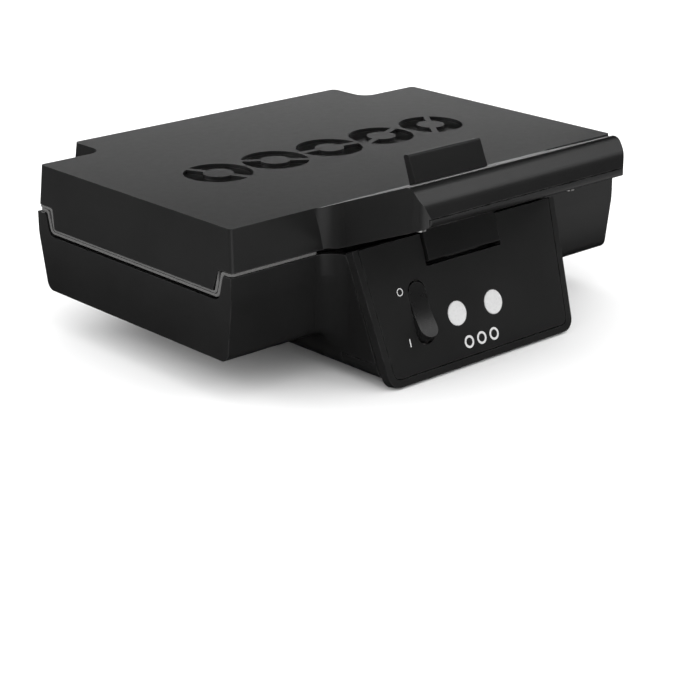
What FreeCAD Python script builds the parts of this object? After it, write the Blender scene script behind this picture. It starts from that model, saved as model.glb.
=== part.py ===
import FreeCAD, Part
import math
import os

# Donut maker: a hinged lid and a base, each with a cast plate that holds six half rings.
# Drawn from the front edge of the lid's top face: X to the right, Y to the back, Z up, in millimetres.
# Finished parts are moved by ORIGIN, so that the row frame starts on the table under the middle.
V = FreeCAD.Vector
ORIGIN = V(0, -56.44, 84)

# Overall sizes
HALF_TOP = 127.0
HALF_WIDE = 128.75
DEEP = 147.8
TAIL_HALF = 89.4
TAIL_DEEP = 173.0
DRAFT = 1.7
LID_EDGE = -19.9
LID_DIP = -30.5
WALL = 2.5
TOP_WALL = 4.0

# Base
BASE_EDGE = -21.9
BASE_DIP = -34.6
BEND_Z = -34.5
WING_LOW = -63.0
BLOCK_TOP = 68.2
BLOCK_LOW = 64.4
BLOCK_BOTTOM = -79.8
BLOCK_BACK = 158.0
TAIL_EDGE = -23.6
TABLE = -84.0

# Parting lines, from the lid down to the base: heights at the front, sides and rear,
# then where the front step starts and ends, and where the rear step starts and ends
LID_SEAM = (LID_EDGE, LID_DIP, LID_EDGE), (8.0, 11.4, 135.8, 137.6)
UPPER_TOP = (-18.4, -30.6, -20.1), (7.1, 10.5, 136.3, 137.7)
UPPER_UNDER = (-19.85, -31.7, -21.2), (5.95, 9.35, 137.4, 139.0)
LOWER_TOP = (-20.25, -31.95, -21.45), (5.35, 8.75, 138.0, 141.0)
LOWER_UNDER = (-21.6, -33.15, -22.55), (4.1, 7.5, 139.3, 142.1)
LID_BEND = 1.2
BASE_SEAM = (BASE_EDGE, BASE_DIP, TAIL_EDGE), (3.8, 7.2, 140.4, 142.9)

# Handle and latch
HANDLE_HALF = 68.6
HANDLE_FRONT = -62.4
HANDLE_CORNER = 8.0
FLARE = 11.5
HANDLE = [(4, 0), (-1.2, 0), (-53.14, 19.48), (-59.7, 11.6), (-62.8, 1.98), (-7.0, -19.22), (4, LID_EDGE)]
HANDLE_RADII = [0, 4, 5, 9, 4, 3, 0]
SPLIT_Z = 5.1
LATCH_HALF = 24.0
LATCH_PIVOT = (-9.6, -5.0)
LATCH_PIN_R = 1.5
LATCH_GAP = 0.7
COVER_HALF = 64.5
COVER_LINE = 0.4

# Ring marks sunk in the lid's top
MARKS = 5
MARK_STEP = 36.0
MARK_Y = 77.0
MARK_R = 17.0
MARK_HOLE = 7.5
MARK_DEPTH = 1.8
MARK_BRIDGE = 1.6

# Front panel: a plane that leans forward
PANEL_TOP = V(0, -14.7, -19.4)
PANEL_LEAN = 18.7
PANEL_LOW = -66.9
PANEL_LOW_HALF = 62.6
PANEL_LINE = 0.5
FRAME_WIDE = 3.4
FRAME_BOTTOM = -82.8
RECESS_HALF = 25.4
RECESS_LOW = -15.9
SWITCH = (-34.6, -35.9)
SWITCH_HALF = 5.75
SWITCH_LONG = 15.5
ROCKER_DEEP = -4.0
ROCKER_TILT = 10.0
LAMP_X = 12.35
LAMP_V = -41.5
LAMP_R = 6.0

# Cooking plates: three columns and two rows of ring cavities
RING_R = 18.8
RING_TUBE = 11.2
RING_X = 77.0
RING_Y = 30.7
PLATE_MID = 73.4
DECK = 3.0
PLATE_WALL = 2.2
SEAM_SIDE = -31.8
ELEMENT_R = 3.25
ROD_X = 22.0
ROD_BEND = 14.0
ROD_END = 127.0
REFLECTOR_LIP = 4.0
PLATE_SCREWS = [(x, y) for x in (-115, 115) for y in (19, 127.5)]

# Screw bosses and their bores, and the screws of the panel and the handle
BOSS_R = 4.0
BOSS_BORE = 1.6
SMALL_BORE = 1.4
HANDLE_SCREWS = [(x, -40) for x in (-50, 50)]
PANEL_SCREWS = [(-61.6, -12), (61.6, -12), (-58.6, -50), (58.6, -50)]

# Underside and back
COVER_SCREWS = [(x, y) for x in (-48, 48) for y in (10, 114)]
FEET = [(x, y) for x in (-46, 46) for y in (-18, 142)]
GLAND_Z = -70.9
GLAND_R = 3.6

# Hinge
HINGE = (166.5, -34.0)
ARM_X = 72.0
ARM_SCREWS = [(x + dx, 154.5) for x in (-ARM_X, ARM_X) for dx in (-5, 5)]
BRACKET_SCREWS = [(x + dx, 157) for x in (-ARM_X, ARM_X) for dx in (-10.4, 10.4)]
ARM_HALF = 4.0
PIN_R = 2.5
EYE_R = 5.5

SPACE = {
    "x": lambda a, b, c: V(c, a, b),
    "y": lambda a, b, c: V(a, c, b),
    "z": lambda a, b, c: V(a, b, c),
}


def outline(points, radii, axis, level):
    """A closed wire through 2-D corners, each rounded to its own radius."""
    place = SPACE[axis]
    stops = []
    for i, (corner, radius) in enumerate(zip(points, radii)):
        here = V(corner[0], corner[1], 0)
        before = V(*points[i - 1], 0) - here
        after = V(*points[(i + 1) % len(points)], 0) - here
        before.normalize()
        after.normalize()
        if radius == 0:
            stops.append((here, None, here))
            continue
        half = before.getAngle(after) / 2
        reach = radius / math.tan(half)
        inward = before + after
        inward.normalize()
        crown = here + inward * (radius / math.sin(half) - radius)
        stops.append((here + before * reach, crown, here + after * reach))
    edges = []
    for i, (start, crown, end) in enumerate(stops):
        if crown is not None:
            arc = [place(p.x, p.y, level) for p in (start, crown, end)]
            edges.append(Part.Arc(*arc).toShape())
        following = stops[(i + 1) % len(stops)][0]
        if (following - end).Length > 1e-6:
            line = [place(p.x, p.y, level) for p in (end, following)]
            edges.append(Part.makeLine(*line))
    return Part.Wire(edges)


def prism(points, axis, low, high, radii=None):
    """A straight bar with the given outline across the axis."""
    wire = outline(points, radii or [0] * len(points), axis, low)
    return Part.Face(wire).extrude(SPACE[axis](0, 0, high - low))


def block(x0, x1, y0, y1, z0, z1):
    return Part.makeBox(x1 - x0, y1 - y0, z1 - z0, V(x0, y0, z0))


def rod(radius, start, end):
    line = end - start
    return Part.makeCylinder(radius, line.Length, start, line)


def fused(shapes):
    body = shapes[0]
    if len(shapes) > 1:
        body = body.fuse(shapes[1:])
    return body.removeSplitter()


def on_panel(shape):
    """Stand a shape drawn flat, with +Z out of the face, on the leaning panel."""
    stood = shape.copy()
    stood.rotate(V(0, 0, 0), V(1, 0, 0), 90 - PANEL_LEAN)
    stood.translate(PANEL_TOP)
    return stood


def stadium(centre, half_wide, half_long, low, high):
    x, y = centre
    points = [(x - half_wide, y - half_long), (x + half_wide, y - half_long),
              (x + half_wide, y + half_long), (x - half_wide, y + half_long)]
    return prism(points, "z", low, high, [half_wide - 0.01] * 4)


def export(name, shape):
    moved = shape.copy()
    moved.translate(ORIGIN)
    moved.exportStep("parts/" + name + ".step")


def tee(inset, spread):
    """The lid's plan outline: two wings and a narrower tail at the back."""
    x = HALF_TOP + spread[0] - inset
    y0 = -spread[1] + inset
    y1 = DEEP + spread[1] - inset
    tail_x = TAIL_HALF + spread[1] - inset
    tail_y = TAIL_DEEP + spread[1] - inset
    return [(-x, y0), (x, y0), (x, y1), (tail_x, y1), (tail_x, tail_y),
            (-tail_x, tail_y), (-tail_x, y1), (-x, y1)]


TEE_RADII = [2.0, 2.0, 2.0, 8.0, 3.0, 3.0, 8.0, 2.0]


def seam_cutter(seam, above):
    """Everything above (or below) a parting line that dips along both sides."""
    (front, side, rear), (front_top, front_low, back_low, back_top) = seam
    far = 60 if above else -140
    bend = LID_BEND + 0.75 * (LID_DIP - side)
    points = [(-90, front), (front_top, front), (front_low, side), (back_low, side),
              (back_top, rear), (230, rear), (230, far), (-90, far)]
    return prism(points, "x", -140, 140, [0, 1.6, bend, bend, 1.8, 0, 0, 0])


def tee_solid(inset, top, bottom):
    """The drafted lid block between two heights."""
    rate = DRAFT / -LID_EDGE
    wires = []
    for level in (top, bottom):
        spread = (HALF_WIDE - HALF_TOP) * level / LID_DIP, -rate * level
        wires.append(outline(tee(inset, spread), TEE_RADII, "z", level))
    return Part.makeLoft(wires, True, True)


def handle_block(grow):
    """The rising handle slab with flared roots where it leaves the lid's front."""
    slab = prism(HANDLE, "x", -95, 95, HANDLE_RADII)
    x = HANDLE_HALF + grow
    left = [(-x - 15, 3), (-x - 15, 0), (-x, 0), (-x, HANDLE_FRONT)]
    plan = left + [(-px, py) for px, py in reversed(left)]
    root = prism(plan, "z", -30, 40, [0, 0, FLARE, HANDLE_CORNER, HANDLE_CORNER, FLARE, 0, 0])
    return slab.common(root)


def ring_marks():
    """A row of stencil-cut rings for the lid's top, each with its bridge turned further."""
    marks = []
    tall = MARK_DEPTH + 1
    for i in range(MARKS):
        centre = V(MARK_STEP * (i - (MARKS - 1) / 2), MARK_Y, -MARK_DEPTH)
        ring = Part.makeCylinder(MARK_R, tall, centre).cut(Part.makeCylinder(MARK_HOLE, tall, centre))
        bridge = block(-MARK_BRIDGE, MARK_BRIDGE, -MARK_R - 3, MARK_R + 3, 0, tall)
        bridge.rotate(V(0, 0, 0), V(0, 0, 1), 24 + 30 * i)
        bridge.translate(centre)
        marks.append(ring.cut(bridge))
    return marks


def latch_room():
    """The slot through the handle's root that the latch swings in."""
    points = [(-22, -24), (-12.2, -24), (-11.7, -17), (-5.9, -8.5), (-5.2, -2), (-1.8, 3), (-1, 24),
              (-14, 24), (-11.5, 4.4), (-13.2, -2), (-14.8, -6), (-19.4, -17)]
    return prism(points, "x", -LATCH_HALF - LATCH_GAP, LATCH_HALF + LATCH_GAP)


def lid_housing():
    body = tee_solid(0, 0, LID_DIP).cut(seam_cutter(LID_SEAM, False))
    body = body.fuse(handle_block(0)).removeSplitter()
    hollow = tee_solid(WALL, -TOP_WALL, LID_DIP - 2)
    grip = [(-2, -6), (-46, 12.5), (-54.5, 12.0), (-57.5, 5), (-50, -6), (-2, -20)]
    hollow = hollow.fuse(prism(grip, "x", -COVER_HALF + WALL, COVER_HALF - WALL, [0, 3, 3, 2, 0, 0]))
    rib = block(-LATCH_HALF - 3.5, LATCH_HALF + 3.5, -20, 1.4, -30, 20)
    hollow = hollow.cut(rib)
    bosses = [Part.makeCylinder(BOSS_R, 28.5, V(x, y, -28.5)) for x, y in PLATE_SCREWS]
    pads = [block(x - 9, x + 9, 150, 171, -8, -2) for x in (-ARM_X, ARM_X)]
    body = body.cut(hollow).fuse(bosses + pads)
    bores = [Part.makeCylinder(BOSS_BORE, 20, V(x, y, -29)) for x, y in PLATE_SCREWS]
    bores += [Part.makeCylinder(SMALL_BORE, 6, V(x, y, -9)) for x, y in ARM_SCREWS]
    bores.append(rod(LATCH_PIN_R, V(-30, *LATCH_PIVOT), V(30, *LATCH_PIVOT)))
    bores += [Part.makeCylinder(SMALL_BORE, 14, V(x, y, -1)) for x, y in HANDLE_SCREWS]
    trims = [latch_room(), handle_cover_block(COVER_LINE)] + bores + ring_marks()
    return body.cut(trims).removeSplitter()


def handle_cover_block(grow):
    """The space under the handle that its cover fills."""
    x = COVER_HALF + grow
    top = SPLIT_Z + grow
    lift = 3.2 + grow
    back = -16 + grow
    points = [(-70, top), (-54, top), (-50, -2.9 + lift), (back, -15.8 + lift), (back, -30), (-70, -30)]
    return prism(points, "x", -x, x)


def handle_cover():
    body = handle_block(0).common(handle_cover_block(0))
    posts = [Part.makeCylinder(3.4, 12.3, V(x, y, -4)) for x, y in HANDLE_SCREWS]
    body = body.cut(prism([(-61, 6), (-58, 6), (-58, 2.4), (-61, 2.4)], "x", -60, 60))
    body = body.cut(latch_room()).fuse(posts)
    sinks = [Part.makeCylinder(3.2, 6, V(x, y, -11.5)) for x, y in HANDLE_SCREWS]
    sinks += [Part.makeCylinder(BOSS_BORE, 21, V(x, y, -10)) for x, y in HANDLE_SCREWS]
    return body.cut(sinks).removeSplitter()


def cavities(side, tube_r, seam):
    """Six half rings that bulge to the given side of the seam."""
    places = [(x, y) for x in (-RING_X, 0, RING_X) for y in (PLATE_MID - RING_Y, PLATE_MID + RING_Y)]
    rings = [Part.makeTorus(RING_R, tube_r, V(x, y, seam)) for x, y in places]
    half = block(-130, 130, 0, 140, seam, seam + 30)
    if side < 0:
        half.translate(V(0, 0, -30))
    return [ring.common(half) for ring in rings]


def route(corners, bend):
    """Straight runs through 3-D corners, joined by tangent arcs that start one bend before each corner."""
    edges = []
    place = corners[0]
    for i in range(1, len(corners) - 1):
        here = corners[i]
        before = corners[i - 1] - here
        after = corners[i + 1] - here
        before.normalize()
        after.normalize()
        half = before.getAngle(after) / 2
        inward = before + after
        inward.normalize()
        start = here + before * bend
        end = here + after * bend
        crown = here + inward * (bend * (1 - math.sin(half)) / math.cos(half))
        edges.append(Part.makeLine(place, start))
        edges.append(Part.Arc(start, crown, end).toShape())
        place = end
    edges.append(Part.makeLine(place, corners[-1]))
    return Part.Wire(edges)


def tube(corners, bend, radius):
    path = route(corners, bend)
    ring = Part.Wire([Part.makeCircle(radius, corners[0], corners[1] - corners[0])])
    return path.makePipeShell([ring], True, False)


def element_corners(level):
    """The heating rod's loop over the rings, with both ends at the back."""
    x, front, back, end = RING_X, PLATE_MID - RING_Y, PLATE_MID + RING_Y, ROD_END
    left = [(-ROD_X, end), (-ROD_X, back), (-x, back), (-x, front)]
    plan = left + [(-px, py) for px, py in reversed(left)]
    return [V(px, py, level) for px, py in plan]


def element(level):
    return tube(element_corners(level), ROD_BEND, ELEMENT_R)


def element_rib(low, high):
    """The cast ridge that cradles the heating rod."""
    half = ELEMENT_R + 1.3
    x, front, back = RING_X, PLATE_MID - RING_Y, PLATE_MID + RING_Y
    outer_x, inner_x = -ROD_X - half, -ROD_X + half
    left = [(outer_x, 125), (outer_x, back + half), (-x - half, back + half), (-x - half, front - half)]
    inner = [(-x + half, front + half), (-x + half, back - half), (inner_x, back - half), (inner_x, 125)]
    right = [(-px, py) for px, py in reversed(left)]
    points = left + right + [(-px, py) for px, py in reversed(inner)] + inner
    tight, wide = ROD_BEND - half, ROD_BEND + half
    radii = [0, tight, wide, wide, wide, wide, tight, 0, 0, wide, tight, tight, tight, tight, wide, 0]
    return prism(points, "z", low, high, radii)


def terminals(level):
    """A bead and a blade on each end of a heating rod."""
    pieces = []
    for x in (-ROD_X, ROD_X):
        pieces.append(rod(2.4, V(x, ROD_END, level), V(x, ROD_END + 3.5, level)))
        pieces.append(block(x - 3.1, x + 3.1, ROD_END + 3.5, ROD_END + 9, level - 0.4, level + 0.4))
    return Part.makeCompound(pieces)


def plate(side):
    """One cast plate: a flange that follows the seam, six ring cups and a rib for the heating rod."""
    if side > 0:
        under, over = seam_cutter(UPPER_UNDER, True), seam_cutter(UPPER_TOP, True)
        inner = UPPER_TOP[1][0] + 0.6
        plan = [(-128.1, inner), (-123.5, inner), (-123.5, 1.6), (123.5, 1.6), (123.5, inner), (128.1, inner),
                (128.1, 147.6), (92, 147.6), (88, 146), (-88, 146), (-92, 147.6), (-128.1, 147.6)]
        radii = [0] * len(plan)
    else:
        under, over = seam_cutter(LOWER_UNDER, True), seam_cutter(LOWER_TOP, True)
        plan = [(-128.2, -1.4), (-78, -1.4), (-74, 3), (74, 3), (78, -1.4), (128.2, -1.4),
                (128.2, 148), (92, 148), (88, 146), (-88, 146), (-92, 148), (-128.2, 148)]
        radii = [2] * len(plan)
    flange = prism(plan, "z", -40, -10, radii).common(under).cut(over)
    seam = UPPER_UNDER[0][1] if side > 0 else LOWER_TOP[0][1]
    cups = cavities(side, RING_TUBE + PLATE_WALL, seam)
    crest = seam + side * (RING_TUBE + PLATE_WALL)
    level = crest + side * (ELEMENT_R - 0.8)
    low, high = sorted((seam + side, level))
    deck = block(-120, 120, 9.5, 137, min(seam, seam + side * DECK), max(seam, seam + side * DECK))
    body = flange.fuse(deck).fuse(element_rib(low, high)).fuse(cups)
    body = body.cut(element(level)).cut(cavities(side, RING_TUBE, seam))
    sink = seam if side > 0 else seam - 1.9
    for x, y in PLATE_SCREWS:
        hole = Part.makeCylinder(2.1, 12, V(x, y, SEAM_SIDE - 6))
        body = body.cut(hole.fuse(Part.makeCylinder(4, 1.9, V(x, y, sink))))
    return body.removeSplitter(), level


def base_solid(inset):
    """The base's outside, or its inside when inset by the wall."""
    front, back = -1.8 + inset, 149.6 - inset
    low = WING_LOW + inset
    side = [(front, BASE_EDGE), (front, BEND_Z), (front + 3.7, low),
            (back - 6, low), (back, BEND_Z), (back, BASE_EDGE)]
    wings = prism(side, "x", -HALF_WIDE + inset, HALF_WIDE - inset, [0, 30, 5, 5, 30, 0])
    slope = (BLOCK_TOP - BLOCK_LOW) / (PANEL_TOP.z - BLOCK_BOTTOM)
    top_half = BLOCK_TOP - slope * (PANEL_TOP.z - BASE_EDGE) - inset
    low_half = BLOCK_LOW - inset
    bottom = BLOCK_BOTTOM + inset
    cross = [(-top_half, BASE_EDGE), (top_half, BASE_EDGE), (low_half, bottom), (-low_half, bottom)]
    centre = prism(cross, "y", -60, 220, [0, 0, 6 - inset, 6 - inset])
    body = wings.fuse(centre).removeSplitter()
    roots = [edge for edge in body.Edges if is_root(edge, front, back, low, inset + 0.1)]
    body = body.makeFillet(FLARE - inset, roots)
    body = body.cut(block(-200, 200, BLOCK_BACK - inset, 230, -100, 0))
    tail_x = TAIL_HALF + DRAFT - inset
    tail_y = TAIL_DEEP + DRAFT - inset
    tail = [(130, BASE_EDGE), (130, low), (tail_y - 5, low), (tail_y, BEND_Z), (tail_y, BASE_EDGE)]
    rear = prism(tail, "x", -tail_x, tail_x, [0, 0, 5, 30, 0])
    return body.fuse(rear).removeSplitter()


def is_root(edge, front, back, low, reach):
    """True for an edge where the middle block meets a wing, below the rim."""
    slope = (BLOCK_TOP - BLOCK_LOW) / (PANEL_TOP.z - BLOCK_BOTTOM)
    span = edge.LastParameter - edge.FirstParameter
    heights = []
    for i in range(5):
        p = edge.valueAt(edge.FirstParameter + span * i / 4)
        side = BLOCK_TOP - slope * (PANEL_TOP.z - p.z)
        if abs(abs(p.x) - side) > reach or not front - 0.1 < p.y < back + 0.1 or p.z < low - 0.1:
            return False
        heights.append(p.z)
    return min(heights) < BASE_EDGE - 0.1


def front_corner(gap):
    """The space of the separate cover under the front of the middle block."""
    return block(-90, 90, -60, -4 - gap, -95, -71.7 - gap)


def panel_space():
    """Everything in front of the plane that the panel's frame sits on."""
    return on_panel(block(-90, 90, -90, 40, -4.8, 60))


def foot_holes():
    return [Part.makeCylinder(2.6, 5, V(x, y, -81)) for x, y in FEET]


def base_housing():
    body = base_solid(0).cut(seam_cutter(BASE_SEAM, True))
    hollow = base_solid(WALL).fuse(block(-126, 126, 2, 146, -30, -15))
    body = body.cut([hollow, panel_space()])
    bosses = [Part.makeCylinder(BOSS_R, 26.5, V(x, y, -61.5)) for x, y in PLATE_SCREWS]
    bosses += [Part.makeCylinder(BOSS_R, 12, V(x, y, -78)) for x, y in COVER_SCREWS]
    body = body.fuse(bosses)
    gaps = [Part.makeCylinder(BOSS_BORE, 30, V(x, y, -60)) for x, y in PLATE_SCREWS]
    gaps += [Part.makeCylinder(BOSS_BORE, 12, V(x, y, -80)) for x, y in COVER_SCREWS]
    gaps += foot_holes()
    notch = ARM_HALF + 0.8
    gaps += [block(x - notch, x + notch, 168, 180, HINGE[1] - 9, 0) for x in (-ARM_X, ARM_X)]
    gaps += [Part.makeCylinder(BOSS_BORE, 3, V(x, y, -62.4)) for x, y in BRACKET_SCREWS]
    gaps.append(block(-43, 43, 8, 116, -82, -76))
    gaps.append(rod(5.2, V(0, 150, GLAND_Z), V(0, 165, GLAND_Z)))
    gaps.append(front_corner(0))
    return body.cut(gaps).removeSplitter()


def front_foot_cover():
    skin = base_solid(0).cut(base_solid(WALL))
    skin = skin.cut(panel_space()).common(front_corner(0.4))
    return skin.cut(foot_holes())


def base_cover():
    plate_body = prism([(-53, 3), (53, 3), (53, 122), (-53, 122)], "z", -81.4, -79.9, [4] * 4)
    rim = prism([(-42.7, 8.3), (42.7, 8.3), (42.7, 115.7), (-42.7, 115.7)], "z", -79.9, -77.9)
    body = plate_body.fuse(rim)
    slots = [block(-28, 28, y, y + 3, -83, -75) for y in range(24, 104, 9)]
    slots += [Part.makeCylinder(BOSS_BORE, 6, V(x, y, -83)) for x, y in COVER_SCREWS]
    return body.cut(slots).removeSplitter()


def foot(x, y):
    pad = Part.makeCone(5.2, 6, 4.1, V(x, y, TABLE))
    return pad.fuse(Part.makeCylinder(2.5, 3, V(x, y, TABLE + 4))).removeSplitter()


def panel_outline(inset, top):
    rate = (BLOCK_TOP - PANEL_LOW_HALF) / -PANEL_LOW
    low = PANEL_LOW + inset
    return [(-BLOCK_TOP + inset - rate * top, top), (BLOCK_TOP - inset + rate * top, top),
            (PANEL_LOW_HALF - inset, low), (-PANEL_LOW_HALF + inset, low)]


def panel_frame():
    body = prism(panel_outline(0, 0), "z", -4.6, 0, [0.8, 0.8, 7, 7])
    window = prism(panel_outline(FRAME_WIDE, 3), "z", -2.8, 1, [0, 0, 4, 4])
    ledge = prism(panel_outline(FRAME_WIDE + 4, -4), "z", -6, 1, [0, 0, 2, 2])
    pocket = block(-27.3, 27.3, -21, 5, -9, 1)
    holes = [Part.makeCylinder(1.3, 4, V(x, y, -6)) for x, y in PANEL_SCREWS]
    body = on_panel(body.cut([window, ledge, pocket] + holes).removeSplitter())
    return body.cut(block(-90, 90, -60, 0, -95, FRAME_BOTTOM))


def control_panel():
    body = prism(panel_outline(FRAME_WIDE + PANEL_LINE, -0.3), "z", -2.6, -0.1, [0, 0, 3.7, 3.7])
    x, low = RECESS_HALF, RECESS_LOW
    recess = prism([(-x, 5), (x, 5), (x, low), (-x, low)], "z", -5, 1, [0, 0, 0.8, 0.8])
    holes = [Part.makeCylinder(LAMP_R + 0.12, 5, V(side, LAMP_V, -4)) for side in (-LAMP_X, LAMP_X)]
    slot = stadium(SWITCH, SWITCH_HALF, SWITCH_LONG, -5, 1)
    blind = [Part.makeCylinder(1.1, 1.6, V(sx, sy, -2.7)) for sx, sy in PANEL_SCREWS]
    return on_panel(body.cut([recess, slot] + holes + blind).removeSplitter())


def latch_catch():
    """A moulded pocket behind the panel with the bar that the latch hooks under."""
    shell = block(-27, 27, -20, -0.5, -11, -2.7)
    hollow = block(-25.6, 25.6, -18.5, 5, -9.5, 0)
    bar = block(-13, 13, -9.5, -6, -9.6, -3.0)
    return on_panel(shell.cut(hollow).fuse(bar).removeSplitter())


def latch_clip():
    """A rocking plate: thumb flange above the handle, hooked tab below it, on one cross pin."""
    side = [(-5.3, 16.3), (-10.9, 3.3), (-15.4, -18.4), (-20.4, -32.0), (-18.1, -32.6), (-12.8, -18.4),
            (-6.1, 3.3), (-1.8, 16.0)]
    plate_body = prism(side, "x", -LATCH_HALF, LATCH_HALF, [1.2, 6, 12, 0.8, 0.8, 12, 6, 1.2])
    hub = rod(3.2, V(-LATCH_HALF, *LATCH_PIVOT), V(LATCH_HALF, *LATCH_PIVOT))
    bore = rod(LATCH_PIN_R + 0.05, V(-40, *LATCH_PIVOT), V(40, *LATCH_PIVOT))
    room = block(5, 15, -16, -4.5, -9.4, -0.6)
    return plate_body.fuse(hub).cut([bore, room]).removeSplitter()


def latch_nose():
    """The hook on the back of the latch's tab."""
    points = [(-10.2, -1.0), (-10.2, -2.8), (-12.4, -2.8), (-14.2, -1.2)]
    return on_panel(prism(points, "x", -11, 11))


def latch_spring():
    helix = Part.makeHelix(1.15, 7.0, 2.3)
    start = helix.Vertexes[0].Point
    ring = Part.Wire([Part.makeCircle(0.4, start, V(0, 1, 0.08))])
    coil = Part.Wire(helix.Edges).makePipeShell([ring], True, True)
    coil.rotate(V(0, 0, 0), V(0, 1, 0), 90)
    coil.translate(V(6.5, *LATCH_PIVOT))
    return coil


def rocker():
    """The stadium-shaped key, round about its pivot so that its ends stay clear of the slot."""
    half, long = SWITCH_HALF - 0.35, SWITCH_LONG - 0.5
    shoulder = long - half
    corner = half * math.sqrt(0.5)
    edges = [Part.makeLine(V(-half, 0, 0), V(-half, shoulder, 0)),
             Part.Arc(V(-half, shoulder, 0), V(-corner, shoulder + corner, 0), V(0, long, 0)).toShape(),
             Part.Arc(V(0, long, 0), V(corner, shoulder + corner, 0), V(half, shoulder, 0)).toShape(),
             Part.makeLine(V(half, shoulder, 0), V(half, 0, 0)),
             Part.makeLine(V(half, 0, 0), V(-half, 0, 0))]
    barrel = Part.Face(Part.Wire(edges)).revolve(V(0, 0, 0), V(1, 0, 0), 360)
    face = [Part.Arc(V(-10, 16, 7.4), V(-10, 0, 4.7), V(-10, -16, 7.4)).toShape(),
            Part.makeLine(V(-10, -16, 7.4), V(-10, -16, -6)),
            Part.makeLine(V(-10, -16, -6), V(-10, 16, -6)),
            Part.makeLine(V(-10, 16, -6), V(-10, 16, 7.4))]
    key = Part.Face(Part.Wire(face)).extrude(V(20, 0, 0)).common(barrel)
    key = key.cut(rod(1.3, V(-10, 0, 0), V(10, 0, 0)))
    key.rotate(V(0, 0, 0), V(1, 0, 0), -ROCKER_TILT)
    key.translate(V(*SWITCH, ROCKER_DEEP))
    return on_panel(key.Solids[0])


def switch_body():
    x, y = SWITCH
    case = block(x - 7.2, x + 7.2, y - 17.5, y + 17.5, -15, -2.7)
    pocket = rod(SWITCH_LONG, V(x - SWITCH_HALF, y, ROCKER_DEEP), V(x + SWITCH_HALF, y, ROCKER_DEEP))
    pocket = pocket.common(stadium(SWITCH, SWITCH_HALF, SWITCH_LONG, -13.5, 5))
    case = case.cut(pocket)
    stub = rod(1.2, V(x - SWITCH_HALF - 0.1, y, ROCKER_DEEP), V(x + SWITCH_HALF + 0.1, y, ROCKER_DEEP))
    blades = [block(x - 2.4, x + 2.4, y + d - 0.4, y + d + 0.4, -21, -15) for d in (-11, 0, 11)]
    return on_panel(case.fuse([stub] + blades).removeSplitter())


def lens(x):
    window = rod(LAMP_R - 0.05, V(x, LAMP_V, -3.2), V(x, LAMP_V, 0.3))
    rim = [edge for edge in window.Edges if edge.CenterOfMass.z > 0.2]
    window = window.makeFillet(0.5, rim)
    return on_panel(window.fuse(rod(7.2, V(x, LAMP_V, -4), V(x, LAMP_V, -2.7))).removeSplitter())


def neon_lamp(x):
    bulb = rod(2.4, V(x, LAMP_V, -15), V(x, LAMP_V, -7)).fuse(Part.makeSphere(2.4, V(x, LAMP_V, -7)))
    return on_panel(bulb.removeSplitter())


def lamp_carrier():
    bar = block(-21, 21, LAMP_V - 8, LAMP_V + 8, -17.5, -15.1)
    wells = []
    for x in (-LAMP_X, LAMP_X):
        well = rod(7.6, V(x, LAMP_V, -15.1), V(x, LAMP_V, -4.1))
        wells.append(well.cut(rod(6.2, V(x, LAMP_V, -16), V(x, LAMP_V, 0))))
    return on_panel(fused([bar] + wells))


def reflector(level):
    """A pressed sheet tray that keeps the heat at the plate."""
    tray = block(-110, 110, 14, 126, level, level + 0.8 + REFLECTOR_LIP)
    inside = block(-109.2, 109.2, 14.8, 125.2, level + 0.8, level + 20)
    lead_gap = block(-34, 34, 118, 130, level - 20, level + 20)
    return tray.cut([inside, lead_gap])


def hinge_arm(x):
    y, z = HINGE
    foot_plate = block(x - 8, x + 8, 151, 170, -11.1, -8.1)
    side = [(y - 9, -9), (y + 3.2, -9), (y + 3.2, z + 9), (y + EYE_R, z), (y - EYE_R, z), (y - 9, z + 12)]
    web = prism(side, "x", x - ARM_HALF, x + ARM_HALF)
    eye = rod(EYE_R, V(x - ARM_HALF, y, z), V(x + ARM_HALF, y, z))
    holes = [rod(PIN_R + 0.05, V(x - 20, y, z), V(x + 20, y, z))]
    holes += [Part.makeCylinder(1.5, 8, V(sx, sy, -14)) for sx, sy in ARM_SCREWS]
    return fused([foot_plate, web, eye]).cut(holes)


def hinge_bracket(x):
    y, z = HINGE
    floor = block(x - 13, x + 13, 150, 163, -60.4, -57.9)
    cheeks = []
    for low in (x - ARM_HALF - 3.4, x + ARM_HALF + 0.4):
        side = [(152, -58), (163, -58), (y + EYE_R, z), (y - EYE_R, z)]
        cheeks.append(prism(side, "x", low, low + 3))
        cheeks.append(rod(EYE_R, V(low, y, z), V(low + 3, y, z)))
    holes = [rod(PIN_R, V(x - 20, y, z), V(x + 20, y, z))]
    holes += [Part.makeCylinder(BOSS_BORE, 6, V(sx, sy, -62)) for sx, sy in BRACKET_SCREWS]
    return fused([floor] + cheeks).cut(holes)


def hinge_pin(x):
    y, z = HINGE
    out = 1 if x > 0 else -1
    shank = rod(PIN_R, V(x - 7.6, y, z), V(x + 7.6, y, z))
    head = rod(4, V(x + out * 7.5, y, z), V(x + out * 9, y, z))
    return fused([shank, head])


def screw(x, y, head_low, head_high, tip, head_r=3.4, shank_r=1.5):
    """A pan head screw that stands upright, with a cross recess in its head."""
    low, high = sorted((head_low, head_high))
    head = Part.makeCylinder(head_r, high - low, V(x, y, low))
    shank = Part.makeCylinder(shank_r, abs(tip - head_high), V(x, y, min(tip, head_high)))
    outer = min(head_low, head_low + (0.9 if head_low < head_high else -0.9))
    cross = [block(x - 2, x + 2, y - 0.35, y + 0.35, outer, outer + 0.9),
             block(x - 0.35, x + 0.35, y - 2, y + 2, outer, outer + 0.9)]
    return head.fuse(shank).cut(cross).removeSplitter()


def screws(places, *sizes):
    """One screw at each place."""
    return Part.makeCompound([screw(x, y, *sizes) for x, y in places])


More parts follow.
